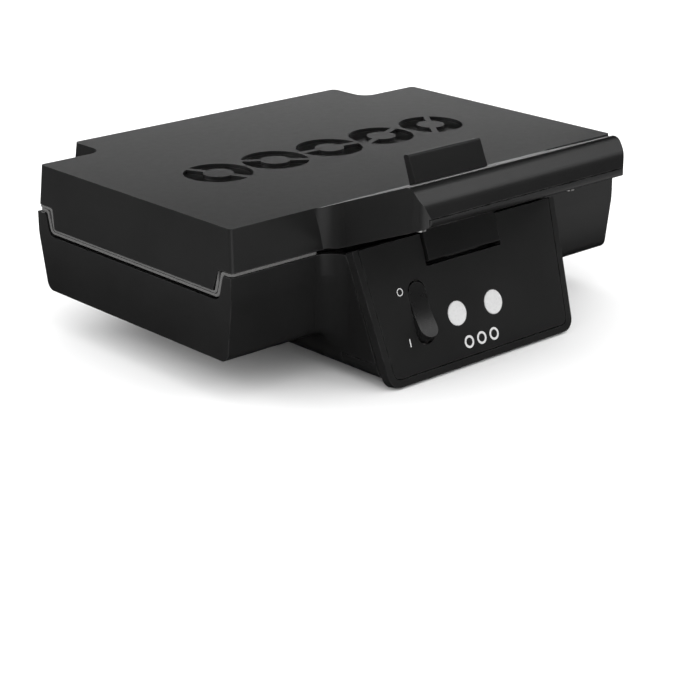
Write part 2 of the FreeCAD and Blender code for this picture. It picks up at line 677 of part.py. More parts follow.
def cord_gland():
    y = BLOCK_BACK
    stages = [(5.1, -2.6, 1.6), (5.9, -4.6, -2.6), (5.9, 1.6, 3.6), (4.9, 3.6, 9)]
    body = fused([rod(r, V(0, y + low, GLAND_Z), V(0, y + high, GLAND_Z)) for r, low, high in stages])
    return body.cut(rod(GLAND_R, V(0, 100, GLAND_Z), V(0, 200, GLAND_Z)))


def cord_wrap():
    y = BLOCK_BACK
    pieces = [block(-58, 58, y + 0.1, y + 1.5, -78.5, -64)]
    for x in (-42, 42):
        stem = [(x - 6, -76), (x + 6, -76), (x + 6, -66.5), (x - 6, -66.5)]
        flange = [(x - 17, -78.5), (x + 17, -78.5), (x + 17, -64), (x - 17, -64)]
        pieces.append(prism(stem, "y", y + 1.4, y + 12, [2] * 4))
        pieces.append(prism(flange, "y", y + 12, y + 14.5, [4] * 4))
    return fused(pieces).cut(rod(5.2, V(0, 100, GLAND_Z), V(0, 200, GLAND_Z)))


def thermostat(x, y, top):
    can = Part.makeCylinder(8, 9, V(x, y, top - 9))
    cap = Part.makeCylinder(6.5, 3.5, V(x, y, top - 12.4))
    blades = [block(x + d - 0.4, x + d + 0.4, y - 2.4, y + 2.4, top - 17, top - 12) for d in (-3.5, 3.5)]
    return fused([can, cap] + blades)


def thermostat_clamp(x, y, top):
    ring = block(x - 14, x + 14, y - 4, y + 4, top - 10.1, top - 9.1)
    ring = ring.cut(Part.makeCylinder(6.7, 3, V(x, y, top - 11)))
    legs = [block(x + d - 0.5, x + d + 0.5, y - 4, y + 4, top - 10.1, top) for d in (-13.5, 13.5)]
    return fused([ring] + legs)


def thermal_fuse(x, y, top):
    return rod(2, V(x - 6, y, top - 2.2), V(x + 6, y, top - 2.2))


def fuse_strap(x, y, top):
    band = block(x - 2, x + 2, y - 6, y + 6, top - 5, top)
    channel = block(x - 3, x + 3, y - 2.2, y + 2.2, top - 4.4, top + 1)
    shoulders = [block(x - 3, x + 3, y + a, y + b, top - 6, top - 0.8) for a, b in ((-7, -3), (3, 7))]
    return band.cut([channel] + shoulders)


def terminal_block():
    x, y, z = -24, 132, -77.2
    body = block(x - 18, x + 18, y - 6, y + 6, z, z + 12)
    wells = [Part.makeCylinder(2.6, 5, V(x + d, y, z + 9)) for d in (-12, 0, 12)]
    wells += [rod(1.9, V(x + d, y - 8, z + 5), V(x + d, y + 8, z + 5)) for d in (-12, 0, 12)]
    return body.cut(wells)


def supply_leads():
    """Sheathed wires from the terminal block to the switch, the lamps, the thermostat and the lower rod."""
    z = -72.2
    runs = [[V(-36, 125.5, z), V(-36, 100, z), V(-38, 40, -74), V(-36, 16, -68), V(-34.6, -5.2, -60.4)],
            [V(-24, 125.5, z), V(-24, 105, z), V(-14, 60, -73), V(-12, 22, -66), V(-10, 9.8, -59.5)],
            [V(-12, 125.5, z), V(-12, 105, z), V(20, 85, -66), V(34, 74, -58)],
            [V(-36, 138.5, z), V(-36, 146, z), V(-30, 151.5, -60), V(-23, 151.8, -50)]]
    return Part.makeCompound([tube(run, 5, 1.3) for run in runs])


upper_plate, upper_level = plate(1)
lower_plate, lower_level = plate(-1)
deck_low = LOWER_TOP[0][1] - DECK

lid = {
    "lid_housing": lid_housing(),
    "handle_cover": handle_cover(),
    "upper_plate": upper_plate,
    "upper_element": element(upper_level),
    "upper_terminals": terminals(upper_level),
    "upper_reflector": reflector(-11.6),
    "hinge_arm_left": hinge_arm(-ARM_X),
    "hinge_arm_right": hinge_arm(ARM_X),
    "hinge_arm_screws": screws(ARM_SCREWS, -12.7, -11.1, -3.5, 2.4, 1.3),
    "upper_plate_screws": screws(PLATE_SCREWS, SEAM_SIDE + 0.2, SEAM_SIDE + 1.9, -14),
    "handle_screws": screws(HANDLE_SCREWS, -7.2, -5.6, 12, 3.0, 1.3),
    "latch_pin": rod(LATCH_PIN_R, V(-29, *LATCH_PIVOT), V(29, *LATCH_PIVOT)),
    "latch_spring": latch_spring(),
}
latch = {"latch_clip": latch_clip().fuse(latch_nose()).removeSplitter()}
key = {"switch_rocker": rocker()}
base = {
    "base_housing": base_housing(),
    "front_foot_cover": front_foot_cover(),
    "base_cover": base_cover(),
    "panel_frame": panel_frame(),
    "control_panel": control_panel(),
    "panel_screws": on_panel(screws(PANEL_SCREWS, -6.0, -4.7, -1.2, 1.8, 1.0)),
    "latch_catch": latch_catch(),
    "switch_body": switch_body(),
    "power_lens": lens(-LAMP_X),
    "ready_lens": lens(LAMP_X),
    "power_lamp": neon_lamp(-LAMP_X),
    "ready_lamp": neon_lamp(LAMP_X),
    "lamp_carrier": lamp_carrier(),
    "lower_plate": lower_plate,
    "lower_element": element(lower_level),
    "lower_terminals": terminals(lower_level),
    "lower_reflector": reflector(-53.6),
    "lower_plate_screws": screws(PLATE_SCREWS, SEAM_SIDE - 0.3, SEAM_SIDE - 2.0, -50),
    "thermostat": thermostat(38.5, PLATE_MID, deck_low),
    "thermostat_clamp": thermostat_clamp(38.5, PLATE_MID, deck_low),
    "thermal_fuse": thermal_fuse(-38.5, PLATE_MID, deck_low),
    "fuse_strap": fuse_strap(-38.5, PLATE_MID, deck_low),
    "terminal_block": terminal_block(),
    "supply_leads": supply_leads(),
    "hinge_bracket_left": hinge_bracket(-ARM_X),
    "hinge_bracket_right": hinge_bracket(ARM_X),
    "hinge_pin_left": hinge_pin(-ARM_X),
    "hinge_pin_right": hinge_pin(ARM_X),
    "bracket_screws": screws(BRACKET_SCREWS, -56.2, -57.8, -62.2, 2.8, 1.5),
    "base_cover_screws": screws(COVER_SCREWS, -83.1, -81.5, -69),
    "cord_gland": cord_gland(),
    "cord_wrap": cord_wrap(),
}
for name, (x, y) in zip(("front_left", "rear_left", "front_right", "rear_right"), FEET):
    base["foot_" + name] = foot(x, y)

os.makedirs("parts", exist_ok=True)
for name, shape in {**lid, **latch, **key, **base}.items():
    export(name, shape)
    good = shape.isValid() and len(shape.Solids) > 0
    print(f"{name:22} {len(shape.Solids):3} solids {shape.Volume / 1000:8.2f} cm3 {'' if good else 'BAD'}")
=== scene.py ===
import bpy
import math
from mathutils import Matrix, Vector


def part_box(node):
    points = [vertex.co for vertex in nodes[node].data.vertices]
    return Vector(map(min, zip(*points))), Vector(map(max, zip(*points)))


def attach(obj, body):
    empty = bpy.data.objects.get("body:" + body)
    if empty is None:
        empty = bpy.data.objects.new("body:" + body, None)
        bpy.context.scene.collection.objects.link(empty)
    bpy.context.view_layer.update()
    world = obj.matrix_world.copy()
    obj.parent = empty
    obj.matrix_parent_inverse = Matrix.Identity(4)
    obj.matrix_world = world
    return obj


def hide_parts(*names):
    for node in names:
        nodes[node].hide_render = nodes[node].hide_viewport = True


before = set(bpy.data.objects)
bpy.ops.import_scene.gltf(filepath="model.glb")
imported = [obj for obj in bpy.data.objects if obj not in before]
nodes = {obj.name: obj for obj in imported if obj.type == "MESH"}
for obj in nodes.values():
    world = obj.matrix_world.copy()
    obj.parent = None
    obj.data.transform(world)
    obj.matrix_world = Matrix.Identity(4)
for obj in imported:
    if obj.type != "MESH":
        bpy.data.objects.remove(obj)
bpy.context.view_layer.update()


# ---- Camera -------------------------------------------------------------------------------------
# It stands to the front left of the donut maker and a little above it, with a long lens, so the
# sides hardly draw together.
CAMERA_PLACE = Vector((-0.63923, -0.69651, 0.33429))
CAMERA_HEADING = math.radians(-42.341)
CAMERA_DIP = math.radians(20.544)
CAMERA_LENS = 100.2

lens_and_body = bpy.data.cameras.new("studio_camera")
lens_and_body.lens = CAMERA_LENS
lens_and_body.sensor_width = 36.0
lens_and_body.clip_end = 50.0
camera = bpy.data.objects.new("studio_camera", lens_and_body)
bpy.context.scene.collection.objects.link(camera)
camera.location = CAMERA_PLACE
camera.rotation_euler = (math.pi / 2 - CAMERA_DIP, 0.0, CAMERA_HEADING)
bpy.context.scene.camera = camera


# ---- Studio -------------------------------------------------------------------------------------
# A white floor under an even white sky, which only lights the scene: gloss shows the soft boxes
# alone, so the black housings stay black and their edges catch thin lines of light.
SKY_STRENGTH = 1.42
FLOOR_WHITE = (0.93, 0.93, 0.93, 1.0)
# name, place, the point it faces, width and height, power
SOFT_BOXES = [
    ("card_behind", (2.2, 3.0, 0.36), (0.0, 0.0, 0.1), (2.2, 0.42), 9.4),
    ("card_ahead", (-2.0, -3.1, 0.4), (0.0, 0.0, 0.1), (2.0, 0.5), 7.0),
    ("box_left", (-2.2, 0.5, 1.3), (0.0, 0.0, 0.03), (1.2, 1.2), 9.0),
    ("box_front", (1.3, -1.6, 1.75), (0.0, 0.0, 0.08), (2.0, 0.9), 9.0),
    ("box_rear", (-1.9, 2.0, 1.7), (0.0, 0.0, 0.05), (1.4, 1.0), 16.0),
    ("box_right", (2.6, -0.1, 1.5), (0.0, 0.0, 0.05), (1.0, 1.0), 6.0),
    ("bounce_right", (0.49, -0.49, 0.002), (0.49, -0.49, 1.0), (0.8, 0.8), 0.7),
    ("bounce_front", (-0.3, -0.42, 0.002), (-0.3, -0.42, 1.0), (0.5, 0.4), 0.55),
    ("bounce_left", (-0.64, 0.3, 0.002), (-0.64, 0.3, 1.0), (0.9, 0.9), 0.3),
]

bpy.ops.object.select_all(action="DESELECT")
bpy.ops.mesh.primitive_plane_add(size=24.0, location=(0.0, 0.0, 0.0))
floor = bpy.context.object
floor.name = "studio_floor"
floor.visible_glossy = False
floor_paint = bpy.data.materials.new("floor_paint")
floor_paint.use_nodes = True
floor_shader = floor_paint.node_tree.nodes["Principled BSDF"]
floor_shader.inputs["Base Color"].default_value = FLOOR_WHITE
floor_shader.inputs["Roughness"].default_value = 0.9
floor_shader.inputs["Specular IOR Level"].default_value = 0.0
floor.data.materials.append(floor_paint)

sky = bpy.data.worlds.new("studio_sky")
sky.use_nodes = True
sky.node_tree.nodes["Background"].inputs["Color"].default_value = (1.0, 1.0, 1.0, 1.0)
sky.node_tree.nodes["Background"].inputs["Strength"].default_value = SKY_STRENGTH
bpy.context.scene.world = sky
sky.cycles_visibility.glossy = False
bpy.context.scene.view_settings.view_transform = "Standard"

for box_name, place, target, size, power in SOFT_BOXES:
    soft_box = bpy.data.lights.new(box_name, "AREA")
    soft_box.shape = "RECTANGLE"
    soft_box.size, soft_box.size_y = size
    soft_box.energy = power
    stand = bpy.data.objects.new(box_name, soft_box)
    bpy.context.scene.collection.objects.link(stand)
    stand.location = place
    stand.visible_camera = False
    stand.rotation_euler = (Vector(target) - Vector(place)).to_track_quat("-Z", "Y").to_euler()


# ---- Lid, handle and base housings --------------------------------------------------------------
# Injection moulded in black heat-resistant plastic with a fine spark-eroded grain. The lid is one
# moulding with its rising handle, a cover is screwed under the handle, and the base is a tub with
# a foot cover in front and a screwed cover below.
def noise_of(tree, grain, detail):
    """A noise whose spots are about one grain wide, fixed to the piece."""
    place = tree.nodes.new("ShaderNodeTexCoord")
    noise = tree.nodes.new("ShaderNodeTexNoise")
    noise.inputs["Scale"].default_value = 1.0 / grain
    noise.inputs["Detail"].default_value = detail
    tree.links.new(place.outputs["Object"], noise.inputs["Vector"])
    return noise.outputs["Fac"]


def ranged(tree, source, low, high, from_low=0.3, from_high=0.7):
    """The source stretched over a new range."""
    stretch = tree.nodes.new("ShaderNodeMapRange")
    stretch.inputs["From Min"].default_value = from_low
    stretch.inputs["From Max"].default_value = from_high
    stretch.inputs["To Min"].default_value = low
    stretch.inputs["To Max"].default_value = high
    tree.links.new(source, stretch.inputs["Value"])
    return stretch.outputs["Result"]


def mixed(tree, share, first, second):
    """Two colours, or a colour and a socket, blended by a share."""
    mix = tree.nodes.new("ShaderNodeMix")
    mix.data_type = "RGBA"
    tree.links.new(share, mix.inputs["Factor"])
    for side, value in (("A", first), ("B", second)):
        socket = next(s for s in mix.inputs if s.name == side and s.type == "RGBA")
        if isinstance(value, tuple):
            socket.default_value = value
        else:
            tree.links.new(value, socket)
    return next(s for s in mix.outputs if s.type == "RGBA")


def grained(tree, shader, height, depth):
    """Fine relief on the shader's surface."""
    bump = tree.nodes.new("ShaderNodeBump")
    bump.inputs["Strength"].default_value = 1.0
    bump.inputs["Distance"].default_value = depth
    tree.links.new(height, bump.inputs["Height"])
    tree.links.new(bump.outputs["Normal"], shader.inputs["Normal"])


def rubbed_and_highlit_edges(tree, width, patch):
    """Where an edge is lighter: wear from rubbing and a painted edge highlight, near a corner, in uneven
    patches.
    """
    rounded = tree.nodes.new("ShaderNodeBevel")
    rounded.samples = 4
    rounded.inputs["Radius"].default_value = width
    facing = tree.nodes.new("ShaderNodeNewGeometry")
    turn = tree.nodes.new("ShaderNodeVectorMath")
    turn.operation = "DOT_PRODUCT"
    tree.links.new(rounded.outputs["Normal"], turn.inputs[0])
    tree.links.new(facing.outputs["Normal"], turn.inputs[1])
    edge = ranged(tree, turn.outputs["Value"], 1.0, 0.0, 0.75, 0.99)
    patches = ranged(tree, noise_of(tree, patch, 4.0), 0.0, 1.0, 0.35, 0.6)
    both = tree.nodes.new("ShaderNodeMath")
    both.operation = "MULTIPLY"
    tree.links.new(edge, both.inputs[0])
    tree.links.new(patches, both.inputs[1])
    return both.outputs["Value"]


def grey(value, tint=0.0):
    """A near grey, a touch warmer where tint is above nothing."""
    return (value * (1.0 + tint), value, value * (1.0 - tint), 1.0)


def moulded(name, dark, light, edge_wear_and_highlight, roughness, grain, depth):
    """Moulded plastic: cloudy tone, grain, uneven gloss and lighter edges, partly wear from rubbing and
    partly a painted highlight.
    """
    finish = bpy.data.materials.new(name)
    finish.use_nodes = True
    tree = finish.node_tree
    shader = tree.nodes["Principled BSDF"]
    clouds = ranged(tree, noise_of(tree, 0.03, 3.0), 0.0, 1.0)
    tone = mixed(tree, clouds, grey(dark), grey(light))
    # The edge grey lightens the edges, both as wear from rubbing and as a painted highlight along them.
    worn_and_highlit = mixed(tree, rubbed_and_highlit_edges(tree, 0.0006, 0.006), tone, grey(edge_wear_and_highlight))
    tree.links.new(worn_and_highlit, shader.inputs["Base Color"])
    gloss = ranged(tree, noise_of(tree, 0.004, 5.0), roughness - 0.015, roughness + 0.015)
    tree.links.new(gloss, shader.inputs["Roughness"])
    shader.inputs["IOR"].default_value = 1.5
    grained(tree, shader, noise_of(tree, grain, 2.0), depth)
    return finish


def dress(finish, *names):
    """Gives CAD nodes a finish."""
    for name in names:
        for material_slot in nodes[name].material_slots:
            material_slot.material = finish


# The third number is the edge grey: wear from rubbing with a painted highlight along the edges.
housing_black = moulded("housing_black", 0.0085, 0.0102, 0.045, 0.3, 0.0004, 0.00002)
dress(housing_black, "lid_housing", "handle_cover", "base_housing", "front_foot_cover", "base_cover")


# ---- Panel, latch and switch key ----------------------------------------------------------------
# The leaning front panel is a separate black moulding inside a thin frame. The latch is a rocking
# clip on a steel pin in the handle's root, and the switch key rocks in its slot beside the lamps.
# The latch's catch, the lamp carrier and the cord wrap are the panel's plastic too.
# Here too the third number is the edge grey: wear from rubbing with a painted highlight along the edges.
panel_black = moulded("panel_black", 0.0105, 0.0125, 0.04, 0.38, 0.00035, 0.00002)
dress(panel_black, "panel_frame", "control_panel", "latch_catch", "cord_wrap", "lamp_carrier")

latch_black = moulded("latch_black", 0.0085, 0.0105, 0.04, 0.38, 0.0004, 0.000025)
dress(latch_black, "latch_clip")

key_black = moulded("key_black", 0.008, 0.011, 0.04, 0.28, 0.0006, 0.000006)
dress(key_black, "switch_rocker")


# ---- Lamp windows -------------------------------------------------------------------------------
# Two round windows of white translucent plastic, pushed into the panel from behind until their
# collars meet it. Each is hollow behind and slightly crowned in front, over a neon lamp.
PANEL_LEAN = math.radians(18.7)
LAMP_UP_PANEL = 0.0254
WINDOW_R = 0.00595
COLLAR_R = 0.0072
COLLAR_DEPTH = 0.0013
COLLAR_FACE = -0.0027
WINDOW_FACE = 0.0002
WINDOW_SHOULDER = 0.0003
WINDOW_HOLLOW = 0.0028
WINDOW_WALL = 0.0011
WINDOW_CROWN = ((0.00012, 0.00018), (0.00025, 0.00012), (0.0012, 0.00008), (0.0016, 0.00004))
WINDOW_SIDES = 72

panel_foot = Vector((0.0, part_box("panel_frame")[0].y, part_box("panel_frame")[0].z))
panel_place = Matrix.Translation(panel_foot) @ Matrix.Rotation(math.pi / 2 - PANEL_LEAN, 4, "X")


def pick_faces(piece, wanted):
    """In edit mode, selects just the faces whose centre and normal pass the test."""
    bpy.ops.object.mode_set(mode="OBJECT")
    for part in (piece.data.vertices, piece.data.edges, piece.data.polygons):
        part.foreach_set("select", [False] * len(part))
    for face in piece.data.polygons:
        face.select = wanted(face.center, face.normal)
    bpy.ops.object.mode_set(mode="EDIT")


def begin(name):
    """Names the primitive just added and opens it for face editing."""
    piece = bpy.context.object
    piece.name = name
    piece.data.name = name
    bpy.ops.object.mode_set(mode="EDIT")
    bpy.ops.mesh.select_mode(type="FACE")
    return piece


def settle(piece, place):
    """Leaves edit mode, and puts the piece's place into its mesh."""
    bpy.ops.object.mode_set(mode="OBJECT")
    piece.data.transform(place @ piece.matrix_basis)
    piece.matrix_basis = Matrix.Identity(4)
    piece.data.update()


def smooth(piece, degrees):
    """Smooth shading, broken at edges sharper than the angle."""
    bpy.ops.object.select_all(action="DESELECT")
    piece.select_set(True)
    bpy.context.view_layer.objects.active = piece
    bpy.ops.object.shade_smooth_by_angle(angle=math.radians(degrees))


def window_white():
    """Milky plastic that light enters a little way, and is not quite even."""
    finish = bpy.data.materials.new("window_white")
    finish.use_nodes = True
    tree = finish.node_tree
    shader = tree.nodes["Principled BSDF"]
    clouds = ranged(tree, noise_of(tree, 0.002, 3.0), 0.0, 1.0)
    tree.links.new(mixed(tree, clouds, grey(0.56), grey(0.6)), shader.inputs["Base Color"])
    gloss = ranged(tree, noise_of(tree, 0.001, 2.0), 0.26, 0.36)
    tree.links.new(gloss, shader.inputs["Roughness"])
    shader.inputs["Subsurface Weight"].default_value = 0.2
    shader.inputs["Subsurface Radius"].default_value = (0.001, 0.001, 0.001)
    grained(tree, shader, noise_of(tree, 0.0008, 2.0), 0.000004)
    return finish


lens_white = window_white()
for window_name in ("power_lens", "ready_lens"):
    bpy.ops.object.select_all(action="DESELECT")
    bpy.ops.mesh.primitive_cylinder_add(vertices=WINDOW_SIDES, radius=COLLAR_R, depth=COLLAR_DEPTH,
                                        location=(0.0, 0.0, COLLAR_FACE - COLLAR_DEPTH / 2))
    window = begin(window_name + "_window")
    pick_faces(window, lambda centre, normal: normal.z > 0.9)
    bpy.ops.mesh.inset(thickness=COLLAR_R - WINDOW_R)
    barrel = WINDOW_FACE - COLLAR_FACE - WINDOW_SHOULDER
    bpy.ops.mesh.extrude_region_move(TRANSFORM_OT_translate={"value": (0, 0, barrel)})
    for step_in, step_up in WINDOW_CROWN:
        bpy.ops.mesh.inset(thickness=step_in)
        bpy.ops.transform.translate(value=(0, 0, step_up))
    pick_faces(window, lambda centre, normal: normal.z < -0.9)
    bpy.ops.mesh.inset(thickness=COLLAR_R - WINDOW_R + WINDOW_WALL)
    bpy.ops.mesh.extrude_region_move(TRANSFORM_OT_translate={"value": (0, 0, WINDOW_HOLLOW)})
    low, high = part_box(window_name)
    lamp_x = (low.x + high.x) / 2
    settle(window, panel_place @ Matrix.Translation((lamp_x, LAMP_UP_PANEL, 0.0)))
    smooth(window, 40)
    window.data.materials.append(lens_white)
    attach(window, "base")
    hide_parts(window_name)


# ---- Printed marks ------------------------------------------------------------------------------
# Pale grey ink, pad printed on the panel: a circle and a bar for off and on beside the key, and a
# row of three small rings at the foot of the panel.
PRINT_FACE = -0.0001
PRINT_THICK = 0.00004
OFF_MARK = (-0.0450, 0.0429)
ON_MARK = (-0.0453, 0.0186)
ON_MARK_SIZE = (0.0006, 0.0038, 1.0)
OFF_MARK_R = 0.0019
OFF_MARK_STROKE = 0.00045
RING_ROW = 0.0105
RING_PITCH = 0.0085
RING_R = 0.0031
RING_STROKE = 0.0011


def ink():
    """Slightly speckled pad-printing ink."""
    finish = bpy.data.materials.new("print_ink")
    finish.use_nodes = True
    tree = finish.node_tree
    shader = tree.nodes["Principled BSDF"]
    speckle = ranged(tree, noise_of(tree, 0.00025, 3.0), 0.0, 1.0)
    tree.links.new(mixed(tree, speckle, grey(0.50), grey(0.62)), shader.inputs["Base Color"])
    tree.links.new(ranged(tree, noise_of(tree, 0.0008, 2.0), 0.5, 0.65), shader.inputs["Roughness"])
    grained(tree, shader, noise_of(tree, 0.0002, 2.0), 0.000005)
    return finish


print_ink = ink()


def finish_print(mark, place):
    """Gives the flat mark its thin body of ink and lays it on the panel."""
    bpy.ops.mesh.select_all(action="SELECT")
    bpy.ops.mesh.extrude_region_move(TRANSFORM_OT_translate={"value": (0, 0, PRINT_THICK)})
    bpy.ops.mesh.select_all(action="SELECT")
    bpy.ops.mesh.normals_make_consistent(inside=False)
    settle(mark, panel_place @ Matrix.Translation((place[0], place[1], PRINT_FACE)))
    mark.data.materials.append(print_ink)
    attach(mark, "base")


def printed_ring(name, place, radius, stroke):
    """A ring of ink, its stroke measured in from its radius."""
    bpy.ops.object.select_all(action="DESELECT")
    bpy.ops.mesh.primitive_circle_add(vertices=48, radius=radius, fill_type="NGON")
    mark = begin(name)
    bpy.ops.mesh.select_all(action="SELECT")
    bpy.ops.mesh.inset(thickness=stroke)
    bpy.ops.mesh.delete(type="FACE")
    finish_print(mark, place)


printed_ring("off_mark", OFF_MARK, OFF_MARK_R, OFF_MARK_STROKE)
for i in range(3):
    printed_ring("ring_mark_%d" % i, (RING_PITCH * (i - 1), RING_ROW), RING_R, RING_STROKE)

bpy.ops.object.select_all(action="DESELECT")
bpy.ops.mesh.primitive_plane_add(size=1.0)
on_mark = begin("on_mark")
bpy.ops.mesh.select_all(action="SELECT")
bpy.ops.transform.resize(value=ON_MARK_SIZE)
finish_print(on_mark, ON_MARK)


# ---- Cooking plates -----------------------------------------------------------------------------
# Die-cast aluminium with six half-ring cups each. The cooking side has a dark non-stick coat, and
# the flange that shows between lid and base was trimmed after coating, so its edge is bare metal.
PLATE_EDGE_X = 0.1268
PLATE_EDGE_FRONT = -0.0566
PLATE_EDGE_BACK = 0.0904
COAT_FADE = 0.0002


def coated_plate():
    """Non-stick coat with fine speckle, and bare cast metal round the trimmed rim."""
    finish = bpy.data.materials.new("plate_coating")
    finish.use_nodes = True
    tree = finish.node_tree
    shader = tree.nodes["Principled BSDF"]
    place = tree.nodes.new("ShaderNodeTexCoord")
    apart = tree.nodes.new("ShaderNodeSeparateXYZ")
    tree.links.new(place.outputs["Object"], apart.inputs["Vector"])
    wide = tree.nodes.new("ShaderNodeMath")
    wide.operation = "ABSOLUTE"
    tree.links.new(apart.outputs["X"], wide.inputs[0])
    past_side = ranged(tree, wide.outputs["Value"], 0.0, 1.0, PLATE_EDGE_X, PLATE_EDGE_X + COAT_FADE)
    past_front = ranged(tree, apart.outputs["Y"], 1.0, 0.0, PLATE_EDGE_FRONT - COAT_FADE, PLATE_EDGE_FRONT)
    past_back = ranged(tree, apart.outputs["Y"], 0.0, 1.0, PLATE_EDGE_BACK, PLATE_EDGE_BACK + COAT_FADE)
    rim = past_side
    for other in (past_front, past_back):
        wider = tree.nodes.new("ShaderNodeMath")
        wider.operation = "MAXIMUM"
        tree.links.new(rim, wider.inputs[0])
        tree.links.new(other, wider.inputs[1])
        rim = wider.outputs["Value"]
    speckle = ranged(tree, noise_of(tree, 0.0004, 3.0), 0.0, 1.0, 0.4, 0.7)
    coat = mixed(tree, speckle, grey(0.016), grey(0.035))
    cast = mixed(tree, speckle, grey(0.08, 0.01), grey(0.12, 0.01))
    tree.links.new(mixed(tree, rim, coat, cast), shader.inputs["Base Color"])
    tree.links.new(ranged(tree, noise_of(tree, 0.003, 3.0), 0.34, 0.46), shader.inputs["Roughness"])
    grained(tree, shader, noise_of(tree, 0.0005, 3.0), 0.00001)
    return finish


dress(coated_plate(), "upper_plate", "lower_plate")


# ---- Steel parts --------------------------------------------------------------------------------
# Heating rods of stainless tube, pressed reflector trays and brackets, zinc-plated pins and screws.
# They are held by their own bends, or screwed to the housings from inside.
def drawn_steel(name, dark, light, roughness, streak, stretch):
    """Metal with drawn streaks, which a low stretch lengthens, and faint stains."""
    finish = bpy.data.materials.new(name)
    finish.use_nodes = True
    tree = finish.node_tree
    shader = tree.nodes["Principled BSDF"]
    place = tree.nodes.new("ShaderNodeTexCoord")
    pulled = tree.nodes.new("ShaderNodeMapping")
    pulled.inputs["Scale"].default_value = stretch
    tree.links.new(place.outputs["Object"], pulled.inputs["Vector"])
    streaks = tree.nodes.new("ShaderNodeTexNoise")
    streaks.inputs["Scale"].default_value = 1.0 / streak
    streaks.inputs["Detail"].default_value = 4.0
    tree.links.new(pulled.outputs["Vector"], streaks.inputs["Vector"])
    stains = ranged(tree, noise_of(tree, 0.008, 4.0), 0.0, 1.0)
    tree.links.new(mixed(tree, stains, grey(dark, 0.02), grey(light, 0.01)), shader.inputs["Base Color"])
    gloss = ranged(tree, streaks.outputs["Fac"], roughness - 0.08, roughness + 0.1)
    tree.links.new(gloss, shader.inputs["Roughness"])
    shader.inputs["Metallic"].default_value = 1.0
    grained(tree, shader, streaks.outputs["Fac"], 0.000008)
    return finish


rod_steel = drawn_steel("rod_steel", 0.34, 0.46, 0.36, 0.0008, (1.0, 1.0, 3.0))
dress(rod_steel, "upper_element", "lower_element", "upper_terminals", "lower_terminals")

sheet_steel = drawn_steel("sheet_steel", 0.5, 0.6, 0.34, 0.0006, (0.1, 1.0, 1.0))
dress(sheet_steel, "upper_reflector", "lower_reflector", "hinge_arm_left", "hinge_arm_right",
      "hinge_bracket_left", "hinge_bracket_right", "thermostat", "thermostat_clamp", "fuse_strap",
      "latch_spring")

screw_steel = drawn_steel("screw_steel", 0.45, 0.56, 0.3, 0.0003, (1.0, 1.0, 0.3))
dress(screw_steel, "panel_screws", "hinge_arm_screws", "bracket_screws", "upper_plate_screws",
      "lower_plate_screws", "handle_screws", "base_cover_screws", "latch_pin", "hinge_pin_left",
      "hinge_pin_right", "thermal_fuse")


# ---- Lamps, switch body, terminal block and leads -----------------------------------------------
# Neon lamps with amber glass, a nylon switch and terminal block, and glass-fibre sleeved leads
# that run between them inside the base.
def small_part(name, dark, light, tint, roughness, grain, depth):
    """A plain moulded, blown or sleeved finish with cloudy tone and grain."""
    finish = bpy.data.materials.new(name)
    finish.use_nodes = True
    tree = finish.node_tree
    shader = tree.nodes["Principled BSDF"]
    clouds = ranged(tree, noise_of(tree, grain * 8.0, 3.0), 0.0, 1.0)
    tree.links.new(mixed(tree, clouds, grey(dark, tint), grey(light, tint)), shader.inputs["Base Color"])
    gloss = ranged(tree, noise_of(tree, grain * 4.0, 3.0), roughness - 0.06, roughness + 0.06)
    tree.links.new(gloss, shader.inputs["Roughness"])
    grained(tree, shader, noise_of(tree, grain, 2.0), depth)
    return finish


lamp_glass = small_part("lamp_glass", 0.35, 0.42, 0.4, 0.12, 0.002, 0.000002)
dress(lamp_glass, "power_lamp", "ready_lamp")
switch_nylon = small_part("switch_nylon", 0.6, 0.66, 0.04, 0.45, 0.0008, 0.000008)
dress(switch_nylon, "switch_body", "terminal_block")
lead_sleeve = small_part("lead_sleeve", 0.42, 0.5, 0.08, 0.62, 0.0006, 0.00003)
dress(lead_sleeve, "supply_leads")


# ---- Feet ---------------------------------------------------------------------------------------
# Soft black rubber, moulded with a ringed tread and a stem that pushes into a hole in the
# underside, two under the foot cover in front and two behind.
FOOT_R = 0.006
FOOT_TIP_R = 0.0052
FOOT_TALL = 0.0041
STEM_R = 0.0025
STEM_LONG = 0.0029
TREAD_DEPTH = 0.0005
TREAD_WALL = 0.0009
TREAD_LAND = 0.0008
FOOT_EDGE = 0.00018

foot_rubber = small_part("foot_rubber", 0.02, 0.028, 0.0, 0.72, 0.0008, 0.00002)


def sink_tread(foot):
    """Two ringed grooves in the sole."""
    steps = ((TREAD_WALL, TREAD_DEPTH), (TREAD_WALL, -TREAD_DEPTH),
             (TREAD_LAND, TREAD_DEPTH), (TREAD_LAND, -TREAD_DEPTH))
    for wall, move in steps:
        bpy.ops.mesh.inset(thickness=wall)
        bpy.ops.mesh.extrude_region_move(TRANSFORM_OT_translate={"value": (0, 0, move)})


bpy.ops.object.select_all(action="DESELECT")
bpy.ops.mesh.primitive_cylinder_add(vertices=48, radius=FOOT_R, depth=FOOT_TALL,
                                    location=(0.0, 0.0, FOOT_TALL / 2))
foot = begin("rubber_foot")
pick_faces(foot, lambda centre, normal: normal.z > 0.9)
bpy.ops.mesh.inset(thickness=FOOT_R - STEM_R)
bpy.ops.mesh.extrude_region_move(TRANSFORM_OT_translate={"value": (0, 0, STEM_LONG)})
pick_faces(foot, lambda centre, normal: normal.z < -0.9)
bpy.ops.transform.resize(value=(FOOT_TIP_R / FOOT_R, FOOT_TIP_R / FOOT_R, 1.0))
sink_tread(foot)
settle(foot, Matrix.Identity(4))
soft_edges = foot.modifiers.new("soft_edges", "BEVEL")
soft_edges.width = FOOT_EDGE
soft_edges.segments = 2
soft_edges.limit_method = "ANGLE"
bpy.ops.object.modifier_apply(modifier="soft_edges")
smooth(foot, 45)

